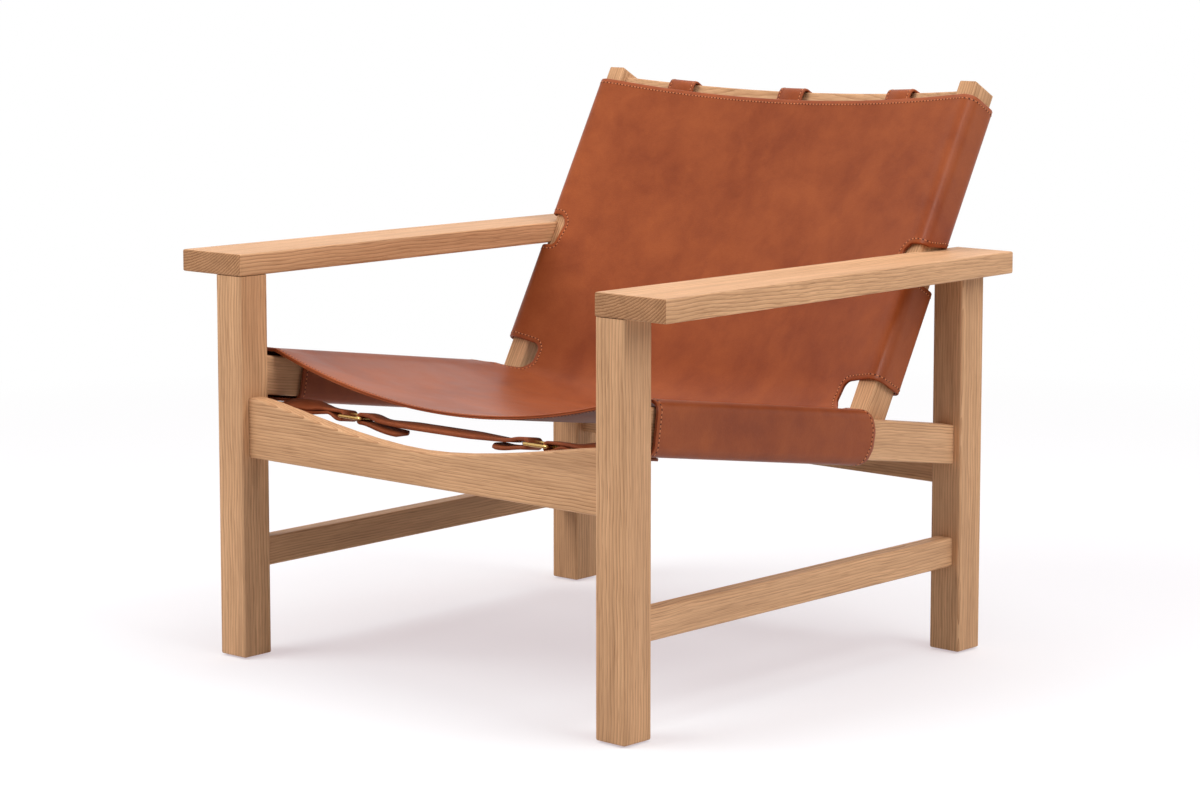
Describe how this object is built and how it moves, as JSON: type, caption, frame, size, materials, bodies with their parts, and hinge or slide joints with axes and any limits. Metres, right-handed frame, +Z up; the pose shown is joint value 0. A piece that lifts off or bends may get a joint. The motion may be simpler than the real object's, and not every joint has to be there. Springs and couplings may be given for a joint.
{
  "type": "leather sling lounge chair",
  "caption": "Low lounge chair with a square-legged oak frame, broad flat arms and a buckled leather sling for seat and back.",
  "frame": {"origin": "on the floor, at the middle of the chair's bounding box", "axes": "+X to the sitter's left, -Y towards the front, +Z up"},
  "size_m": [0.7994, 0.7486, 0.7167],
  "materials": {
    "oak": "oiled, straight grain along each member",
    "leather": "smooth saddle leather with a soft sheen and stitched edges",
    "strap_leather": "dark brown strap leather",
    "brass": "polished",
    "steel": "zinc plated",
    "glide": "dark nylon"
  },
  "bodies": {
    "root": {"leg_front_left": "oak", "leg_front_right": "oak", "leg_back_left": "oak", "leg_back_right": "oak", "arm_left": "oak", "arm_right": "oak", "front_rail": "oak", "rear_rail": "oak", "seat_rail_left": "oak", "seat_rail_right": "oak", "stretcher_left": "oak", "stretcher_right": "oak", "back_post_left": "oak", "back_post_right": "oak", "crest_rail": "oak", "glide_front_left": "glide", "glide_front_right": "glide", "glide_back_left": "glide", "glide_back_right": "glide", "post_screw_left": "steel", "post_screw_right": "steel", "leather_sling": "leather", "crest_loop_right": "leather", "crest_loop_centre": "leather", "crest_loop_left": "leather", "seat_strap_right_frame": "brass", "seat_strap_right_tongue": "brass", "seat_strap_right_chape": "strap_leather", "seat_strap_left_frame": "brass", "seat_strap_left_tongue": "brass", "seat_strap_left_chape": "strap_leather", "seat_strap_centre": "strap_leather", "back_strap_lower_frame": "brass", "back_strap_lower_tongue": "brass", "back_strap_lower_chape": "strap_leather", "back_strap_lower_long": "strap_leather", "back_strap_upper_frame": "brass", "back_strap_upper_tongue": "brass", "back_strap_upper_chape": "strap_leather", "back_strap_upper_long": "strap_leather"}
  },
  "joints": []
}
